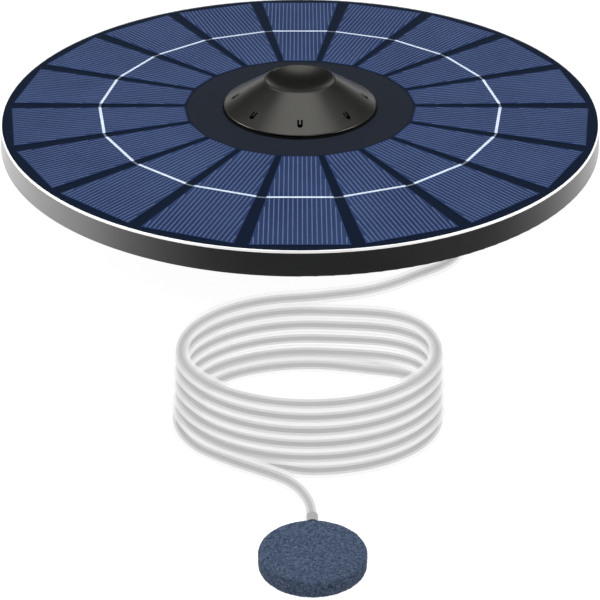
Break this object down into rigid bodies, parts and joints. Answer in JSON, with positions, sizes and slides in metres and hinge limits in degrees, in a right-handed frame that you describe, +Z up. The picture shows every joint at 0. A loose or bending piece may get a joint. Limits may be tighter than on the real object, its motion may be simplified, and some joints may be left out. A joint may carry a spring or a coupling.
{
  "type": "solar floating pond aerator",
  "caption": "Round solar-panel float with a conical vented hub, a sealed diaphragm air pump under it, a coiled airline and an oval air stone.",
  "frame": {"origin": "on the disc's axis, in the plane the pump housing stands on", "axes": "+Z up out of the solar panel; -Y towards the coiled airline; +X to the right seen from the coil"},
  "size_m": [0.28, 0.4395, 0.0524],
  "materials": {
    "gunmetal": "satin gunmetal metallic paint over moulded plastic",
    "foam": "closed-cell foam",
    "panel_navy": "dark navy laminate",
    "cell_blue": "blue silicon cell under a thin gloss coat with fine metal fingers",
    "ribbon": "tinned copper ribbon",
    "edge_white": "white edge bead",
    "black_rubber": "black rubber",
    "screw_steel": "stainless steel",
    "filter_foam": "open-cell filter foam",
    "housing_plastic": "moulded black plastic",
    "motor_steel": "plated steel",
    "black_plastic": "moulded black plastic",
    "magnet": "sintered ferrite",
    "bronze": "sintered bronze",
    "carbon": "carbon",
    "shaft_steel": "ground steel",
    "copper": "enamelled copper",
    "pump_plastic": "natural acetal",
    "diaphragm_rubber": "moulded rubber",
    "battery_wrap": "heat-shrink sleeve",
    "board_green": "solder mask",
    "component_black": "moulded epoxy",
    "wire_red": "silicone wire",
    "airline": "milky translucent tubing",
    "stone_blue": "sintered blue-grey mineral"
  },
  "bodies": {
    "float": {"float_tray": "gunmetal", "foam_float_ring": "foam", "panel_board": "panel_navy", "edge_seal": "edge_white", "solar_cells": "cell_blue", "busbar_ribbons": "ribbon", "cell_links": "ribbon", "hub_gasket": "black_rubber", "hub_cone": "gunmetal", "hub_screws": "screw_steel", "air_filter_pad": "filter_foam", "pump_housing": "housing_plastic", "housing_o_ring": "black_rubber", "housing_screws": "screw_steel", "outlet_elbow": "black_plastic", "outlet_seal": "black_rubber", "outlet_nut": "bronze", "motor_can": "motor_steel", "motor_endbell": "black_plastic", "motor_magnets": "magnet", "motor_bushes": "bronze", "carbon_brushes": "carbon", "motor_cradle": "black_rubber", "diaphragm": "diaphragm_rubber", "pump_body": "pump_plastic", "valve_plate": "pump_plastic", "valve_flaps": "diaphragm_rubber", "pump_head": "black_plastic", "head_screws": "screw_steel", "pump_grommets": "black_rubber", "delivery_tube": "airline", "battery_cell": "battery_wrap", "battery_holder": "black_plastic", "battery_contacts": "motor_steel", "control_board": "board_green", "board_components": "component_black", "board_screws": "screw_steel", "motor_leads": "wire_red", "battery_leads": "wire_red", "panel_leads": "wire_red", "power_switch": "component_black", "air_tube_lead": "airline", "air_tube_coil": "airline", "air_tube_tail": "airline", "air_stone": "stone_blue", "stone_nipple": "black_plastic"},
    "rotor": {"rotor_shaft": "shaft_steel", "armature_core": "motor_steel", "armature_windings": "copper", "commutator": "copper", "eccentric": "bronze"},
    "connecting_rod": {"conrod": "pump_plastic", "diaphragm_clamp": "screw_steel"},
    "button": {"power_button": "black_rubber"}
  },
  "joints": [
    {"name": "rotor_spin", "type": "hinge", "parent": "float", "child": "rotor", "pos_m": [-0.016, 0, 0.016], "axis": [0, 1, 0], "continuous": true},
    {"name": "conrod_orbit", "type": "hinge", "parent": "rotor", "child": "connecting_rod", "pos_m": [-0.016, 0.011, 0.0154], "axis": [0, 1, 0], "continuous": true, "deforming": ["diaphragm"]},
    {"name": "button_press", "type": "slide", "parent": "float", "child": "button", "axis": [0, 0, 1], "range_m": [0, 0.001], "stiffness_N_per_m": 600, "springref_m": -0.0005}
  ],
  "couplings": [
    {"joint": "conrod_orbit", "follows": "rotor_spin", "ratio": -1}
  ]
}
